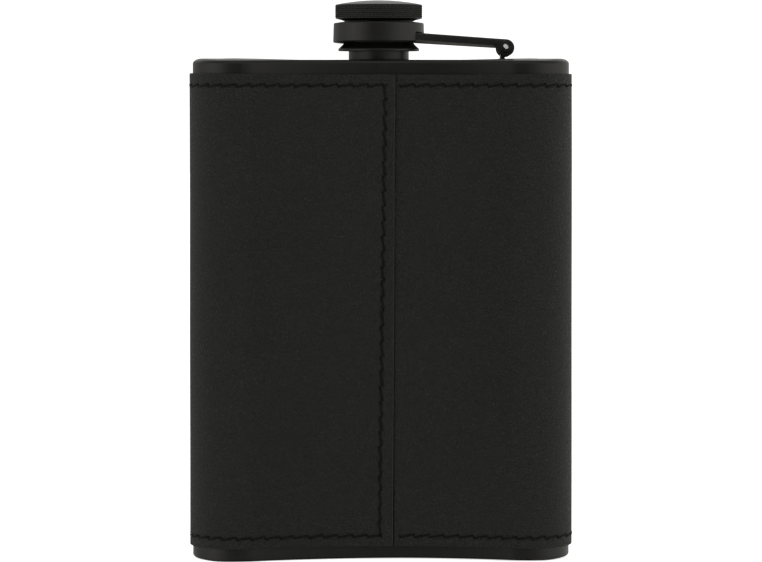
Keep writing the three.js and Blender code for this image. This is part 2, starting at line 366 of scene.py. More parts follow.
def on_section(along):
    """Points of the steel's surface and their outward normals, at distances along the section."""
    along = np.mod(np.asarray(along, float), GIRTH)
    points, normals = np.zeros((*along.shape, 2)), np.zeros((*along.shape, 2))
    start = 0.0
    for (centre, radius, side, begin, end), length in zip(ARCS, ARC_LENGTHS):
        here = (along >= start) & (along <= start + length)
        angle = begin + (end - begin) * (along[here] - start) / length
        outward = np.stack([np.cos(angle), np.sin(angle)], axis=-1)
        points[here] = centre + radius * outward
        normals[here] = side * outward
        start += length
    return points, normals


def wrapped(along, off, height):
    """Points at a distance along the section, a distance off the steel and a height."""
    points, normals = on_section(along)
    height = np.broadcast_to(height, along.shape)
    flat = points + normals * np.asarray(off)[..., None]
    flat[..., 0] *= 1 + SPREAD * (1 - height / TOP)
    return np.concatenate([flat, height[..., None]], axis=-1)


def foot_drop(x, inset, at_end):
    """How far the base stands over its level: never above it, and the same right across."""
    return -FOOT_DROP[0] * smoothstep(10, -20, x) - FOOT_DROP[1] * smoothstep(34, 43, abs(x))


def swelling(x, inset, at_end):
    """How far the shoulder stands over its level, some way in from its long edges or from its ends."""
    pillow = np.interp(inset, [0, 1, 2.5, 5], [-0.4, -0.3, 0.4, 1])
    return CROWN * smoothstep(16, 38, abs(x)) * (pillow + (0.9 - pillow) * at_end)


# ------------------------------------------------------------------ materials


class Paint:
    """A Principled material whose patterns are measured in millimetres of the piece itself."""

    def __init__(self, name):
        self.material = bpy.data.materials.new(name)
        self.material.use_nodes = True
        self.tree = self.material.node_tree
        self.shader = self.tree.nodes["Principled BSDF"]
        place = self.tree.nodes.new("ShaderNodeTexCoord")
        self.space = self.maths("MULTIPLY", place.outputs["Object"], (1000, 1000, 1000), vector=True)

    def set(self, **values):
        for name, value in values.items():
            self.shader.inputs[name.replace("_", " ")].default_value = value

    def feed(self, socket, source):
        self.tree.links.new(source, socket)

    def feed_shader(self, **sources):
        for name, source in sources.items():
            self.feed(self.shader.inputs[name.replace("_", " ")], source)

    def node(self, kind, **inputs):
        made = self.tree.nodes.new(kind)
        for name, value in inputs.items():
            socket = made.inputs[name.replace("_", " ")]
            if isinstance(value, bpy.types.NodeSocket):
                self.feed(socket, value)
            else:
                socket.default_value = value
        return made

    def maths(self, operation, first, second, vector=False):
        made = self.tree.nodes.new("ShaderNodeVectorMath" if vector else "ShaderNodeMath")
        made.operation = operation
        for socket, value in zip(made.inputs, (first, second)):
            if isinstance(value, bpy.types.NodeSocket):
                self.feed(socket, value)
            else:
                socket.default_value = value
        return made.outputs[0]

    def noise(self, scale, detail=3.0, roughness=0.5, stretch=(1, 1, 1)):
        place = self.space
        if stretch != (1, 1, 1):
            place = self.maths("MULTIPLY", place, stretch, vector=True)
        made = self.node("ShaderNodeTexNoise", Vector=place, Scale=scale, Detail=detail, Roughness=roughness)
        return made.outputs["Fac"]

    def cells(self, scale, kind="F1", space=None):
        made = self.tree.nodes.new("ShaderNodeTexVoronoi")
        made.feature = kind
        self.feed(made.inputs["Vector"], space or self.space)
        made.inputs["Scale"].default_value = scale
        return made.outputs["Distance"]

    def spread(self, source, from_low, from_high, to_low, to_high):
        """A value carried from one range to another, and held within it."""
        made = self.node(
            "ShaderNodeMapRange",
            Value=source,
            From_Min=from_low,
            From_Max=from_high,
            To_Min=to_low,
            To_Max=to_high,
        )
        return made.outputs["Result"]

    def blend(self, share, low, high):
        """A colour between two others."""
        made = self.tree.nodes.new("ShaderNodeMix")
        made.data_type = "RGBA"
        self.feed(made.inputs["Factor"], share)
        for socket, value in zip([s for s in made.inputs if s.type == "RGBA"], (low, high)):
            socket.default_value = (*value, 1)
        return next(s for s in made.outputs if s.type == "RGBA")

    def bump(self, *layers):
        """Stacks (height in millimetres, source) layers of relief."""
        normal = None
        for height, source in layers:
            made = self.node("ShaderNodeBump", Strength=1.0, Distance=height * MM, Height=source)
            if normal:
                self.feed(made.inputs["Normal"], normal)
            normal = made.outputs["Normal"]
        self.feed(self.shader.inputs["Normal"], normal)


def black_enamel(name="black_enamel", low=(0.0035, 0.0035, 0.0032), high=(0.006, 0.0057, 0.0053), smooth=0.27):
    """Satin black baked enamel: a faint orange peel and soft scuffs."""
    paint = Paint(name)
    cloud = paint.noise(0.12, 2)
    fine = paint.noise(2.2, 3)
    scuff = paint.noise(0.9, 4, 0.7, stretch=(1, 1, 0.15))
    paint.feed_shader(Base_Color=paint.blend(cloud, low, high))
    rough = paint.spread(scuff, 0.35, 0.7, smooth, smooth + 0.08)
    paint.feed_shader(Roughness=rough)
    paint.bump((0.012, fine), (0.004, paint.noise(9, 2)))
    return paint.material


def bare_steel():
    """Bare stainless, finely brushed."""
    paint = Paint("bare_steel")
    paint.set(Metallic=1.0)
    lines = paint.noise(6, 3, 0.6, stretch=(1, 1, 0.08))
    paint.feed_shader(Base_Color=paint.blend(lines, (0.5, 0.48, 0.455), (0.66, 0.64, 0.61)))
    paint.feed_shader(Roughness=paint.spread(lines, 0.3, 0.7, 0.4, 0.52))
    paint.bump((0.004, lines))
    return paint.material


def peened_steel():
    """Bare metal, dulled and dented by the punch that spread it."""
    paint = Paint("peened_steel")
    paint.set(Metallic=0.35)
    dents = paint.noise(3, 2, 0.5)
    paint.feed_shader(Base_Color=paint.blend(dents, (0.7, 0.69, 0.67), (0.84, 0.83, 0.81)))
    paint.feed_shader(Roughness=paint.spread(dents, 0.3, 0.7, 0.5, 0.62))
    paint.bump((0.02, dents))
    return paint.material


def black_leather():
    """Pebbled cowhide: rounded grains between creases, pores, and slow changes of tone and shine."""
    paint = Paint("black_leather")
    paint.set(IOR=1.56)
    warp = paint.node("ShaderNodeTexNoise", Vector=paint.space, Scale=0.9).outputs["Color"]
    bent = paint.maths("MULTIPLY", warp, (0.9, 0.9, 0.9), vector=True)
    space = paint.maths("ADD", bent, paint.space, vector=True)
    creases = paint.spread(paint.cells(1.15, "DISTANCE_TO_EDGE", space), 0.0, 0.32, 0.0, 1.0)
    pebbles = paint.spread(paint.cells(2.3, "DISTANCE_TO_EDGE", space), 0.0, 0.3, 0.0, 1.0)
    pores = paint.spread(paint.cells(3.1), 0.05, 0.3, 0.0, 1.0)
    fibre = paint.noise(6, 3, 0.6)
    cloud = paint.noise(0.06, 3, 0.6)
    grain = paint.maths("MULTIPLY", creases, paint.spread(pebbles, 0, 1, 0.75, 1))
    # The colour darkens in the creases and lightens on the pebbles: partly the grain's own tone, partly painted
    # shade in the creases.
    tone = paint.maths("MULTIPLY", paint.spread(cloud, 0.3, 0.7, 0.3, 1.0), grain)
    paint.feed_shader(Base_Color=paint.blend(tone, (0.004, 0.004, 0.0041), (0.0092, 0.0091, 0.009)))
    rough = paint.maths("ADD", paint.spread(grain, 0, 1, 0.58, 0.42), paint.spread(cloud, 0.3, 0.7, -0.03, 0.04))
    paint.feed_shader(Roughness=rough)
    paint.bump((0.12, creases), (0.13, pebbles), (0.06, pores), (0.04, fibre))
    return paint.material


def cut_leather_and_highlight():
    """The raw cut edge and flesh side of the leather: fibrous and a little paler. Laid on the lap's free edge and
    on the top edge beside it, it is also a painted highlight.
    """
    paint = Paint("cut_leather_and_highlight")
    paint.set(Roughness=0.75)
    fibre = paint.noise(7, 4, 0.65, stretch=(1, 1, 0.3))
    paint.feed_shader(Base_Color=paint.blend(fibre, (0.007, 0.0068, 0.0065), (0.017, 0.0163, 0.0155)))
    paint.bump((0.04, fibre))
    return paint.material


def sewing_thread():
    """Black waxed thread: fine filaments along each ply."""
    paint = Paint("sewing_thread")
    paint.set(IOR=1.35)
    fibre = paint.noise(14, 3, 0.6)
    paint.feed_shader(Base_Color=paint.blend(fibre, (0.0012, 0.0012, 0.0013), (0.0035, 0.0035, 0.0036)))
    paint.feed_shader(Roughness=paint.spread(fibre, 0.3, 0.7, 0.6, 0.8))
    paint.bump((0.01, fibre))
    return paint.material


def silicone():
    """Food-grade silicone: milky, matt, faintly mottled."""
    paint = Paint("silicone")
    paint.set(Roughness=0.5, IOR=1.41, Subsurface_Weight=0.2, Subsurface_Scale=0.001)
    cloud = paint.noise(0.5, 3)
    paint.feed_shader(Base_Color=paint.blend(cloud, (0.66, 0.66, 0.63), (0.76, 0.76, 0.73)))
    paint.bump((0.006, paint.noise(5, 3)))
    return paint.material


def pale_floor():
    paint = Paint("pale_floor")
    paint.set(Roughness=0.9)
    cloud = paint.noise(0.01, 2)
    paint.feed_shader(Base_Color=paint.blend(cloud, (0.88, 0.88, 0.87), (0.9, 0.9, 0.89)))
    paint.set(Emission_Color=(1, 1, 1, 1), Emission_Strength=0.75)
    return paint.material


ENAMEL = black_enamel()
PEENED = peened_steel()
# A lighter copy of the black enamel, for the neck's outside and the cap's knurled band: a painted sheen.
SHEEN_ENAMEL = black_enamel("painted_sheen_enamel", (0.007, 0.007, 0.0065), (0.012, 0.0115, 0.011), 0.26)
STEEL = bare_steel()
LEATHER = black_leather()
CUT_AND_HIGHLIGHT = cut_leather_and_highlight()
THREAD = sewing_thread()
SILICONE = silicone()


# ------------------------------------------------------------------ the bottle


def pan(weld, face, rounding, lift, hole_radius, hole_centre):
    """A pressed end of the bottle, from its welded edge at one height to its flat face at another.

    rounding is as in TOP_ROUNDING, and lift gives how far the face stands over its level at a place.
    """
    toward = 1 if face > weld else -1
    inner_face = face - toward * WALL
    along = np.linspace(0, GIRTH, 480, endpoint=False)
    across, normals = on_section(along)
    at_end = smoothstep(0.4, 0.95, abs(normals[:, 0]))
    inward, upward = (side + (end - side) * at_end for side, end in zip(*rounding))
    spokes = across - hole_centre
    spokes /= np.linalg.norm(spokes, axis=1, keepdims=True)

    def ring(inset, height):
        return wrapped(along, 0 * along - inset, height + 0 * along)

    def level(inset, height):
        return ring(inset, height + lift(across[:, 0], inset - inward, at_end))

    def hole(height):
        return np.column_stack([hole_centre + hole_radius * spokes, height + 0 * along])

    rings = [ring(0, weld), ring(0, face - toward * 2)]
    for angle in np.linspace(0, np.pi / 2, 10):
        drop = toward * upward * (1 - np.sin(angle))
        rings.append(level(inward * (1 - np.cos(angle)), face - drop))
    rings += [level(inward + inset, face) for inset in (0.1, 0.5, 1, 1.75, 2.5, 3.75, 5)]
    plate = []
    for share in (0.15, 0.3, 0.45, 0.6, 0.75, 0.9):
        plate.append(rings[-1] + (hole(face) - rings[-1]) * share)
        plate[-1][:, 2] = face + lift(plate[-1][:, 0], 5, 0)
    rings += [*plate, hole(face), hole(inner_face), *[spots - [0, 0, face - inner_face] for spots in plate[::-1]]]
    rings += [level(inward + inset, inner_face) for inset in (5, 2.5, 1)]
    rings += [ring(WALL, face - toward * (upward + 0.3)), ring(WALL, weld)]
    return loft(np.array(rings), along=True)


def shoulder():
    made = new_object("shoulder", pan(SHOULDER_LOW, TOP, TOP_ROUNDING, swelling, 6.7, CAP_AXIS), sharp=50)
    return finish_piece(made, "flask", [ENAMEL], ["shoulder_plate"])


def base():
    middle = np.array([0, SAG / 2])
    made = new_object("base", pan(BASE_HIGH, 0.0, FOOT_ROUNDING, foot_drop, 0.0, middle), sharp=50)
    return finish_piece(made, "flask", [ENAMEL], ["base_plate"])


def neck():
    """The turned neck, bare inside and on its rim."""
    bore, root, plain = 5.9, 6.6, 7.53
    profile = filleted(
        [
            (bore, -1.4),
            (6.5, -1.4),
            (6.5, 0.02),
            (plain, 0.02),
            (plain, 2.7),
            (root, 3.1),
            (root, 6.3),
            (root - 0.3, 6.6),
            (bore + 0.3, 6.6),
            (bore, 6.3),
        ],
        0.12,
        closed=True,
    )
    made = new_object("neck", revolved(profile, along=True))
    ridge = new_object("neck_thread", thread_ridge(root, 0.45, 3.45, 1.8, 1.5))
    combine(made, "UNION", ridge)
    shade(made, 40)
    move(made, (*CAP_AXIS, TOP))
    finish_piece(made, "flask", [SHEEN_ENAMEL, STEEL], ["neck_tube"])
    # The outside keeps the lighter enamel as a painted sheen; the bore and the rim get bare steel.
    middles, _ = faces_of(made)
    inside = np.hypot(*(middles[:, :2] - CAP_AXIS).T) < bore + 0.35
    paint_faces(made, inside | (middles[:, 2] > TOP + 6.35))
    return made


# ------------------------------------------------------------------ the leather


def leather_share(height):
    """Where a height lies on the strip, from -0.5 at its lower edge to 0.5 at its upper one."""
    middle = (LEATHER_LOW + LEATHER_HIGH) / 2
    return (height - middle) / (LEATHER_HIGH - LEATHER_LOW)


def seam_shift(height):
    """How far the free edge is out of place at a height, because the strip was wrapped a little askew."""
    return EDGE_LEAN * leather_share(height)


def seam_at(height):
    """Where the seam's stitches run along the section."""
    return SEAM_MIDDLE + 2 * SEAM_LEAN * leather_share(height)


def stitch_places():
    """Distances along the section of the holes in the two rows, evenly spaced on the leather's face."""
    along = np.linspace(0, GIRTH, 2000)
    face = wrapped(along, np.full(2000, SKIN + HIDE), 0.0)
    run = np.concatenate([[0], np.cumsum(np.linalg.norm(np.diff(face, axis=0), axis=1))])
    first = np.interp(1.35, along, run)
    last = np.interp(SEAM_MIDDLE, along, run)
    holes = round((last - first) / STITCH) + 1
    return np.interp(np.linspace(first, last, holes), run, along)


HOLES = stitch_places()
SEAM_HOLES = np.linspace(ROW_LOW, ROW_HIGH, round((ROW_HIGH - ROW_LOW) / STITCH) + 1)


def from_hole(value, places):
    """How far each value lies past the nearest of places, and its share of the way to the next one."""
    order = np.interp(value, places, np.arange(len(places)))
    middle = np.interp(np.round(order), np.arange(len(places)), places)
    return value - middle, np.mod(order, 1)


def ripple(along, height):
    """Slow unevenness of hand-stretched leather, from a few fixed waves."""
    u = 2 * np.pi * along / GIRTH
    return (
        0.035 * np.sin(5 * u + 0.031 * height + 0.4)
        + 0.025 * np.sin(11 * u - 0.052 * height + 2.1)
        + 0.02 * np.sin(0.09 * height + 3 * u + 1.3)
    )


def stitch_dents(past, share, off):
    """How deep the thread sinks the leather, from where a point lies along a row and off it."""
    groove = 0.15 * np.exp(-(((off - SLANT * (2 * share - 1)) / 0.34) ** 2))
    slit = np.exp(-(((past + 0.4 * off) / 0.26) ** 2)) * (1 - smoothstep(SLANT, SLANT + 0.3, abs(off)))
    return groove + 0.34 * slit


def face_height(along, height):
    """How far the leather's face stands off the steel. along runs on past GIRTH no further than the lap."""
    along, height = np.broadcast_arrays(along, height)
    step = 0.22 + 0.2 * smoothstep(LEATHER_LOW, LEATHER_HIGH, height)
    under = smoothstep(GIRTH - LAP - 3, GIRTH - LAP + 2.5, along) * step
    past, share = from_hole(along, HOLES)
    on_row = smoothstep(0.9, 1.3, along) * (1 - smoothstep(HOLES[-1], HOLES[-1] + 0.4, along))
    dents = sum(on_row * stitch_dents(past, share, height - row) for row in (ROW_LOW, ROW_HIGH))
    past, share = from_hole(height, SEAM_HOLES)
    on_seam = smoothstep(ROW_LOW - 0.4, ROW_LOW, height) * (1 - smoothstep(ROW_HIGH, ROW_HIGH + 0.4, height))
    dents = dents + on_seam * stitch_dents(-past, 1 - share, along - seam_at(height))
    pressed = 0.02 + 0.08 * smoothstep(LEATHER_LOW, LEATHER_HIGH, height)
    dents = dents + pressed * np.exp(-(((along - seam_shift(height) - 0.1) / 0.4) ** 2))
    return SKIN + HIDE + under - dents + ripple(along, height)


def finer(low, high, coarse, fine, marks):
    """Grid lines from low to high: fine within reach of the (place, reach) marks, coarse elsewhere."""
    lines = [low]
    while lines[-1] < high:
        near = any(abs(lines[-1] - place) < reach for place, reach in marks)
        lines.append(lines[-1] + (fine if near else coarse))
    lines = np.array(lines)
    return low + (lines - low) * (high - low) / (lines[-1] - low)


def leather():
    """One strip from under the overlap, round the bottle, and over its own beginning."""
    rows = [(ROW_LOW, 1.2), (ROW_HIGH, 1.2)]
    heights = finer(LEATHER_LOW + 0.2, LEATHER_HIGH - 0.2, 0.8, 0.2, rows + [(hole, 0.5) for hole in SEAM_HOLES])
    marks = [(GIRTH - SEAM_INSET, 1.6), (0.0, 1.2)] + [(hole, 0.5) for hole in HOLES]
    along = finer(-LAP, GIRTH - 0.25, 0.45, 0.17, marks)
    along = np.concatenate([along, GIRTH - 0.25 + 0.25 * np.sin(np.linspace(0.3, 1, 4) * np.pi / 2)])
    made = new_object("leather", loft([leather_loop(place, heights) for place in along], caps=True), sharp=60)
    finish_piece(made, "flask", [LEATHER, CUT_AND_HIGHLIGHT], ["leather_wrap"])
    middles, _ = faces_of(made)
    levels = middles[:, 2]
    # A band along the lap's free edge, and the top edge beside the lap, get the paler cut-edge colour: partly the
    # real cut edge, partly a painted highlight line.
    free_edge = wrapped(GIRTH + seam_shift(levels), np.full(len(middles), SKIN + HIDE + 0.05), levels)
    beside = middles[:, 0] - free_edge[:, 0]
    raised = middles[:, 1] < free_edge[:, 1] + 0.02 * beside
    cut_edge_and_highlight_band = raised & (abs(beside + 0.05) < 0.2)
    top_cut_and_highlight = (levels > LEATHER_HIGH - 0.12) & (abs(beside + 2.8) < 3)
    paint_faces(made, cut_edge_and_highlight_band | top_cut_and_highlight)
    return made


def edge_shift(place):
    """How much the strip's upper edge stands up toward the bottle's ends, and how its free corners are rounded."""
    x = on_section(place)[0][0]
    radius = 0.6
    inside = min(max(radius - (GIRTH - place), 0), radius)
    rounding = radius - math.sqrt(radius**2 - inside**2)
    return 0.28 * smoothstep(20, 45, -x) + 0.13 * smoothstep(20, 45, x) - rounding, rounding


def leather_loop(place, heights):
    """The closed outline of the strip, cut across at one place along it."""
    rise, foot_rise = edge_shift(place)
    heights = heights + rise * smoothstep(LEATHER_HIGH - 2, LEATHER_HIGH - 0.2, heights)
    heights = heights + foot_rise * (1 - smoothstep(LEATHER_LOW + 0.2, LEATHER_LOW + 2, heights))
    shift = seam_shift(heights) * smoothstep(GIRTH - 12, GIRTH, place)
    if place < 0:
        outer = np.full(len(heights), SKIN + HIDE * (0.5 + 0.5 * smoothstep(-LAP, 1, place)) - 0.3)
        inner = SKIN
    else:
        near_edge = min(max((place - GIRTH + 0.25) / 0.25, 0), 1)
        bend = 0.07 + 0.07 * smoothstep(LEATHER_LOW, LEATHER_HIGH, heights)
        outer = face_height(place, heights) - bend * (1 - math.sqrt(1 - near_edge**2))
        inner = SKIN + smoothstep(GIRTH - LAP - 3, GIRTH - LAP + 2.5, place) * (HIDE - 0.25)
    face = wrapped(place + shift, outer, heights)
    rounding = []
    for end, side in ((-1, 1), (0, -1)):
        tip = heights[end] + side * 0.2
        high = outer[end]
        offs = np.array([high - 0.05, high - 0.16, inner + 0.02])
        rounding.append(wrapped(np.full(3, place + shift[end]), offs, np.array([tip - side * 0.07, tip, tip])))
    back_heights = np.linspace(heights[-1], heights[0], 4)
    back_shift = seam_shift(back_heights) * smoothstep(GIRTH - 12, GIRTH, place)
    back = wrapped(place + back_shift, np.full(4, inner), back_heights)
    return np.concatenate([face, rounding[0], back, rounding[1][::-1]])


# ------------------------------------------------------------------ the stitches


def stitch_tube(path, across, lift, plies=3):
    """A short length of twisted thread along a path, with its own across and lift directions."""
    count = len(path)
    around = np.linspace(0, 2 * np.pi, 18, endpoint=False)
    share = np.linspace(0, 1, count)[:, None]
    lobes = 1 + 0.13 * np.cos(plies * (around + 2.2 * np.pi * share))
    taper = np.clip(4 * np.sqrt(share * (1 - share)), 0.35, 1)
    radius = THREAD_RADIUS * lobes * taper
    rings = path[:, None] + radius[..., None] * (
        np.cos(around)[None, :, None] * across[:, None] + np.sin(around)[None, :, None] * lift[:, None]
    )
    return loft(rings, caps=True)


def stitch_between(start, end, steps=13):
    """One stitch between two (along, height) holes: it rises out of one, lies flat and dives into the next."""
    share = np.linspace(0, 1, steps)
    along = start[0] + (end[0] - start[0]) * share
    height = start[1] + (end[1] - start[1]) * share
    dive = np.minimum(1, np.minimum(share, 1 - share) / 0.13)
    level = face_height(along, height) + 0.06 - 0.36 * (1 - np.sin(dive * np.pi / 2))
    path = wrapped(along, level, height)
    normals = np.concatenate([on_section(along)[1], np.zeros((steps, 1))], axis=1)
    forward = np.gradient(path, axis=0)
    forward /= np.linalg.norm(forward, axis=1, keepdims=True)
    across = np.cross(normals, forward)
    across /= np.linalg.norm(across, axis=1, keepdims=True)
    lift = np.cross(forward, across)
    return stitch_tube(path, across, lift)


def stitches(name, pairs, node):
    made = new_object(name, joined([stitch_between(*pair) for pair in pairs]), sharp=80)
    return finish_piece(made, "flask", [THREAD], [node])


def stitch_row(name, row, node):
    """Each stitch slants, because the needle's thread and the lower one cross in the slanting holes."""
    pairs = [((a + STITCH_GAP, row - SLANT), (b - STITCH_GAP, row + SLANT)) for a, b in zip(HOLES, HOLES[1:])]
    return stitches(name, pairs, node)


def stitch_seam():
    steps = zip(SEAM_HOLES, SEAM_HOLES[1:])
    pairs = [((seam_at(a) + SLANT, a + STITCH_GAP), (seam_at(b) - SLANT, b - STITCH_GAP)) for a, b in steps]
    return stitches("stitches_seam", pairs, "stitch_seam")


# ------------------------------------------------------------------ the cap


def knurl_relief(angle, height):
    """1 on the points of the diamonds and 0 along the two families of grooves between them."""
    around = KNURLS * angle / (2 * np.pi)
    up = KNURL_ROWS * height
    first, second = np.mod(around + up, 1), np.mod(around - up, 1)
    ridge = np.minimum(1 - abs(2 * first - 1), 1 - abs(2 * second - 1))
    return smoothstep(-0.15, 0.95, ridge)


def cap_head():
    """The domed disc, with real diamonds cut in its rim."""
    radius, dome, rim_low, rim_high = 10.92, 1.08, 10.25, 13.8
    under = [(0, 11.85), (8.7, 11.85), (8.7, 9.65), (9.0, 9.85), (9.45, 9.97), (10.0, 10.1), (10.6, 10.24)]
    low_corner = [(10.74, 10.29), (10.8, 10.36)]
    high_corner = [(10.82, rim_high - 0.08), (10.74, rim_high)]
    arch = [(radius * share, rim_high + dome * (1 - share**2)) for share in np.linspace(0.97, 0, 18)]
    arch = [(r, z - 0.05 * smoothstep(0.9, 0.97, r / radius)) for r, z in arch]
    angle = np.linspace(0, 2 * np.pi, KNURLS * 8, endpoint=False)
    rim = []
    for share in np.linspace(0, 1, round(KNURL_ROWS * 9) + 1):
        edge = smoothstep(0, 0.06, share) * smoothstep(0, 0.06, 1 - share)
        depth = KNURL_DEPTH * (1 - knurl_relief(angle, share)) * edge + 0.1 * (1 - edge)
        rim.append((radius - depth, rim_low + 0.18 + (rim_high - rim_low - 0.32) * share))
    rings = []
    for r, z in [*filleted(under, 0.15), *low_corner, *rim, *high_corner, *arch]:
        reach = r + 0 * angle
        rings.append(np.stack([reach * np.cos(angle), reach * np.sin(angle), z + 0 * angle], axis=-1))
    made = new_object("cap_top", loft(rings), sharp=60)
    move(made, (*CAP_AXIS, TOP))
    finish_piece(made, "cap", [ENAMEL, SHEEN_ENAMEL], ["cap_head"])
    # The knurled band gets the lighter enamel: a painted highlight on the diamonds.
    middles, _ = faces_of(made)
    height = middles[:, 2] - TOP
    around = np.hypot(*(middles[:, :2] - CAP_AXIS).T)
    paint_faces(made, (around > radius - 0.5) & (height > rim_low + 0.1) & (height < rim_high))
    return made


def cap_sleeve():
    """The threaded sleeve, bare inside, with its edge spun out below the collar."""
    bore, wall, flare = 7.95, 8.6, 10.12
    profile = filleted(
        [
            (0, 8.35),
            (bore, 8.35),
            (bore, 4.05),
            (flare - 0.7, 2.2),
            (flare, 2.2),
            (flare, 2.75),
            (wall + 0.35, 3.85),
            (wall, 4.4),
            (wall, 11.65),
            (0, 11.65),
        ],
        0.12,
    )
    made = new_object("cap_thread_sleeve", revolved(profile))
    ridge = new_object("cap_thread", thread_ridge(bore + 0.1, 0.45, 4.4, 2.1, 1.5, inward=True))
    combine(made, "UNION", ridge)
    shade(made, 40)
    move(made, (*CAP_AXIS, TOP))
    finish_piece(made, "cap", [ENAMEL, STEEL], ["cap_sleeve"])
    middles, _ = faces_of(made)
    inside = np.hypot(*(middles[:, :2] - CAP_AXIS).T) < bore + 0.3
    paint_faces(made, inside & (middles[:, 2] < TOP + 8.4))
    return made


def gasket():
    low, high = (corner[2] - TOP for corner in box_mm("cap_gasket"))
    radius, groove = 7.3, 6.2
    profile = filleted(
        [(0, low), (groove - 1, low), (groove - 0.8, low + 0.15), (groove + 0.4, low + 0.15), (groove + 0.6, low)]
        + [(radius, low), (radius, high), (0, high)],
        0.15,
    )
    made = new_object("gasket", revolved(profile))
    move(made, (*CAP_AXIS, TOP))
    return finish_piece(made, "seal", [SILICONE], ["cap_gasket"])


# ------------------------------------------------------------------ the hinged arm


def slab_outline(half_width, low, high, corner, steps=6):
    """The outline of a cross-section of the arm, as (across, height), with its upper corners rounded."""
    outline = [(-half_width, low)]
    for angle in np.linspace(np.pi, np.pi / 2, steps + 1):
        outline.append((-half_width + corner + corner * np.cos(angle), high - corner + corner * np.sin(angle)))
    outline += [(-y, z) for y, z in outline[::-1]]
    return outline


def arm_body(grow, low, high, corner, reach=(-26, 6)):
    """The arm's plan as a block from low to high, with its two long upper edges rounded."""
    rings = []
    for x, half in ((reach[0], 6.7), (-22.75, 6.7), (-4.0, 3.6), (reach[1], 3.6)):
        outline = slab_outline(half + grow, low, high, corner)
        rings.append([(x, y, z) for y, z in outline])
    return loft(rings, caps=True)


def extruded(outline, half_depth):
    """An outline of (x, z) points drawn out along Y to both sides."""
    rings = [[(x, y, z) for x, z in outline] for y in (-half_depth, half_depth)]
    return loft(rings, caps=True)


def arm_side(grow, sink):
    """The arm seen from its side: a straight strip that ends in a round ear."""
    outline = [(-27, -sink), (-EAR - grow * 0.5, -sink)]
    for angle in np.linspace(np.pi * 1.02, np.pi * 2.5, 40):
        outline.append(((EAR + grow) * np.cos(angle), (EAR + grow) * np.sin(angle)))
    outline.append((-27, EAR + grow))
    return outline


def arm_envelope(name, grow, sink, corner):
    made = new_object(name, arm_body(grow, -8, EAR + grow, corner))
    combine(made, "INTERSECT", new_object("side", extruded(arm_side(grow, sink), 12)))
    return made


def cylinder(radius, half_length, axis="Z", segments=96):
    profile = [(0, -half_length), (radius, -half_length), (radius, half_length), (0, half_length)]
    made = new_object("cylinder", revolved(profile, segments))
    if axis == "Y":
        turn(made, math.pi / 2, "X")
    return made


def collar_offset():
    return Vector((CAP_AXIS[0] - PIN[0], CAP_AXIS[1] - PIN[1], TOP - PIN[2]))


def hinge_arm():
    """A pressed channel with rounded folds, two ears, and its root cut to fit the collar."""
    made = arm_envelope("hinge_channel", 0, 0, 0.4)
    combine(made, "DIFFERENCE", new_object("under", arm_body(-SHEET, -9, EAR - SHEET, 0.25, (-28, 7))))
    slot_points = [(-2.3, -9), (9, -9), (9, 9), (-2.3, 9)]
    combine(made, "DIFFERENCE", new_object("slot", extruded(slot_points, 3.0)))
    combine(made, "DIFFERENCE", cylinder(1.0, 12, "Y"))
    shallow = new_object("shallow", extruded([(-28, -1), (-3.4, -1), (-3.0, 0.3), (-28, 0.3)], 6))
    move(shallow, (0, -6.5, 0))
    combine(made, "DIFFERENCE", shallow)
    turn(made, ARM_SLOPE, "Y")
    root = cylinder(10.5, 20)
    move(root, collar_offset())
    combine(made, "DIFFERENCE", root)
    soften(made, 0.07)
    turn(made, COLLAR_ROLL, "X")
    move(made, PIN)
    finish_piece(made, "arm", [ENAMEL, STEEL], ["hinge_arm"])
    middles, normals = faces_of(made)
    middles -= PIN
    flank = (middles[:, 1] * normals[:, 1] < 0) & (abs(normals[:, 1]) > 0.5)
    roof = (normals[:, 2] < -0.7) & (middles[:, 2] > 0.8 - 0.066 * middles[:, 0])
    paint_faces(made, (flank | roof) & (middles[:, 0] < -2.5))
    return made


def collar():
    """The loose ring round the sleeve: a shallow cup, slightly wider at its lip, notched for the arm."""
    hole = 9.5
    outline = [(10.7, 4.3), (11.2, 4.3), (11.41, 4.51), (11.27, 9.15), (hole, 9.4), (hole, 8.8), (10.57, 8.55)]
    profile = filleted(outline, 0.22, closed=True)
    made = new_object("collar_ring", revolved(profile, 192, along=True))
    move(made, collar_offset())
    notch = arm_envelope("notch", 0.3, 4, 0.6)
    turn(notch, ARM_SLOPE, "Y")
    combine(made, "DIFFERENCE", notch)
    shade(made, 35)
    turn(made, COLLAR_ROLL, "X")
    move(made, PIN)
    return finish_piece(made, "arm", [ENAMEL], ["captive_collar"])


def bracket():
    """A strip with a foot welded to the shoulder, a short post and an eye rolled round the pin."""
    ground = TOP - PIN[2] + 0.03
    eye, left, right, toe = 1.5, -1.2, -0.27, 2.15
    step = ground + 0.22
    outline = [(toe, ground), (toe, step - 0.12), (toe - 0.12, step), (right + 0.45, step)]
    outline += [(right + 0.2, step + 0.07), (right + 0.06, step + 0.22), (right, step + 0.5)]
    first = math.asin(right / eye) - math.pi / 2
    last = 1.5 * math.pi + math.asin(left / eye)
    outline += [(eye * math.cos(a), eye * math.sin(a)) for a in np.linspace(first, last, 40)]
    outline += [(left, ground + 0.6), (left - 0.08, ground + 0.25), (left - 0.3, ground)]
    made = new_object("hinge_foot", extruded(outline, 2.7))
    combine(made, "DIFFERENCE", cylinder(0.95, 9, "Y", 48))
    soften(made, 0.08)
    move(made, PIN)
    return finish_piece(made, "flask", [ENAMEL], ["hinge_bracket"])


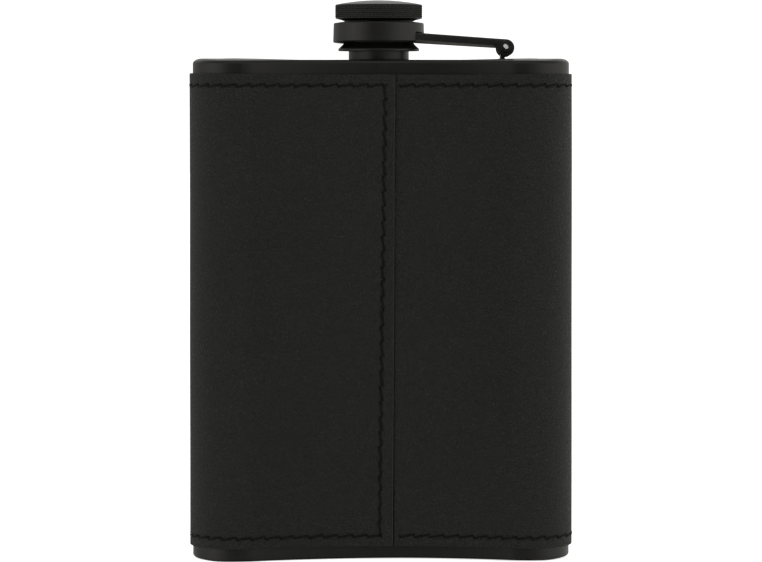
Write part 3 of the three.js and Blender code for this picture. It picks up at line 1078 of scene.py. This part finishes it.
def pin():
    """The hinge pin: painted over with the arm, and bare only where its ends were staked."""
    shank, head, half = 0.8, 1.25, 3.7
    profile = [(0, -half - 0.13), (1.05, -half - 0.12), (1.19, -half - 0.08), (head, -half), (shank, -half + 0.01)]
    profile += [(r, -z) for r, z in profile[::-1]]
    made = new_object("pin", revolved(profile, 64))
    turn(made, math.pi / 2, "X")
    painted_faces = len(made.data.polygons)
    steps = (1.0, 0.05), (1.0, 0.13), (0.85, 0.13), (0.0, 0.13)
    stakes = [stake_ring(share, half + deep) for share, deep in steps]
    spots = new_object("stakes", joined([loft(stakes), loft([ring * [1, -1, 1] for ring in stakes])]))
    turn(spots, math.radians(45), "Y")
    move(spots, (0, 0, 0.42))
    join_meshes(made, spots)
    move(made, PIN)
    finish_piece(made, "arm", [ENAMEL, PEENED], ["hinge_pin"])
    for i, face in enumerate(made.data.polygons):
        face.material_index = int(i >= painted_faces)
    return made


def stake_ring(share, depth):
    """An oblong with round ends, across a pin's end."""
    half_long, half_wide = 0.68 * share, 0.47 * share
    points = []
    for angle in np.linspace(0, 2 * np.pi, 32, endpoint=False):
        x = half_wide * np.cos(angle) + math.copysign(half_long - half_wide, np.cos(angle)) * (share > 0)
        z = half_wide * np.sin(angle)
        points.append((x, depth, z))
    return np.array(points)


def join_meshes(made, other):
    work = bmesh.new()
    work.from_mesh(made.data)
    work.from_mesh(other.data)
    work.to_mesh(made.data)
    work.free()
    bpy.data.objects.remove(other)


# ------------------------------------------------------------------ camera, floor and light


def place_camera():
    """A long lens about 0.9 m away, just under the cap's height and looking a little down."""
    distance, height = 900.0, 116.96
    azimuth, pitch, aside = 0.0221, 0.0539, 0.00013
    lens, sensor = 169.7, 36.0
    data = bpy.data.cameras.new("camera")
    data.lens, data.sensor_width = lens, sensor
    data.clip_start, data.clip_end = 0.05, 20
    camera = bpy.data.objects.new("camera", data)
    foot = Vector((-math.sin(azimuth), -math.cos(azimuth), 0)) * distance
    camera.location = (foot + Vector((0, SAG / 2, height))) * MM
    camera.rotation_euler = (math.pi / 2 - pitch, 0, -azimuth - aside)
    bpy.context.scene.collection.objects.link(camera)
    bpy.context.scene.camera = camera


def ceiling_light():
    """A wide, even ceiling that lights the floor, and that the black paint doesn't mirror."""
    data = bpy.data.lights.new("ceiling", "AREA")
    data.shape = "SQUARE"
    data.size = 10
    data.energy = 260
    light = bpy.data.objects.new("ceiling", data)
    light.location = (0, 0, 3)
    light.visible_glossy = False
    light.visible_camera = False
    bpy.context.scene.collection.objects.link(light)


def studio():
    """A pale floor in a pale room, under a wide ceiling light."""
    reach, ground = 4000, -sum(FOOT_DROP)
    rows = [[(-reach, y, ground), (reach, y, ground)] for y in (-reach, reach)]
    floor = new_object("floor", loft(rows, around=False))
    floor.data.materials.append(pale_floor())
    floor.visible_glossy = False
    ceiling_light()
    world = bpy.data.worlds.new("studio")
    bpy.context.scene.world = world
    world.use_nodes = True
    nodes, links = world.node_tree.nodes, world.node_tree.links

    def maths(operation, *values):
        made = nodes.new("ShaderNodeMath")
        made.operation = operation
        for socket, value in zip(made.inputs, values):
            if isinstance(value, bpy.types.NodeSocket):
                links.new(value, socket)
            else:
                socket.default_value = value
        return made.outputs[0]

    def share_between(source, low, high):
        made = nodes.new("ShaderNodeMapRange")
        made.interpolation_type = "SMOOTHSTEP"
        made.inputs["From Min"].default_value = low
        made.inputs["From Max"].default_value = high
        links.new(source, made.inputs["Value"])
        return made.outputs["Result"]

    def ramp(place, stops, share):
        """Brightness from stops, by a place from 0 to 1 that share finds for each stop's angle."""
        made = nodes.new("ShaderNodeValToRGB")
        links.new(place, made.inputs["Fac"])
        elements = made.color_ramp.elements
        for degrees, bright in stops:
            stop = elements.new(share(degrees))
            stop.color = (bright, bright * 0.99, bright * (0.99 if bright < 0.2 else 0.95), 1)
        elements.remove(elements[0])
        elements.remove(elements[-1])
        return made.outputs["Color"]

    def mixed(share, low, high):
        made = nodes.new("ShaderNodeMix")
        made.data_type = "RGBA"
        colours = [socket for socket in made.inputs if socket.type == "RGBA"]
        links.new(share, made.inputs["Factor"])
        links.new(low, colours[0])
        links.new(high, colours[1])
        return next(socket for socket in made.outputs if socket.type == "RGBA")

    split = nodes.new("ShaderNodeSeparateXYZ")
    links.new(nodes.new("ShaderNodeTexCoord").outputs["Generated"], split.inputs[0])
    x, y, z = split.outputs
    azimuth = maths("ARCTAN2", x, maths("MULTIPLY", y, -1))
    round_it = maths("MULTIPLY_ADD", azimuth, 0.5 / math.pi, 0.5)
    rounds = WALL_LIGHT, LOW_LIGHT, UNDER_LIGHT
    walls, low, under = (ramp(round_it, stops, lambda degrees: 0.5 + degrees / 361) for stops in rounds)
    over_it = maths("MULTIPLY_ADD", y, 0.5, 0.5)
    over = ramp(over_it, OVER_LIGHT, lambda degrees: 0.5 - 0.499 * math.cos(math.radians(degrees)))
    below = mixed(share_between(z, -0.45, -0.2), under, low)
    room = mixed(share_between(z, 0.22, 0.4), mixed(share_between(z, -0.14, -0.02), below, walls), over)
    room_light, backdrop = nodes["Background"], nodes.new("ShaderNodeBackground")
    links.new(room, room_light.inputs["Color"])
    backdrop.inputs["Color"].default_value = (1.2, 1.2, 1.2, 1)
    seen = nodes.new("ShaderNodeMixShader")
    links.new(nodes.new("ShaderNodeLightPath").outputs["Is Camera Ray"], seen.inputs["Fac"])
    links.new(room_light.outputs[0], seen.inputs[1])
    links.new(backdrop.outputs[0], seen.inputs[2])
    links.new(seen.outputs[0], nodes["World Output"].inputs["Surface"])
    bpy.context.scene.view_settings.view_transform = "Standard"


# ------------------------------------------------------------------ the whole scene

place_camera()
shoulder()
base()
neck()
bracket()
leather()
stitch_row("stitches_top", ROW_HIGH, "stitch_row_top")
stitch_row("stitches_bottom", ROW_LOW, "stitch_row_bottom")
stitch_seam()
hinge_arm()
collar()
pin()
cap_head()
cap_sleeve()
gasket()
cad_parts["body_sleeve"].data.materials.clear()
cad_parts["body_sleeve"].data.materials.append(STEEL)
studio()
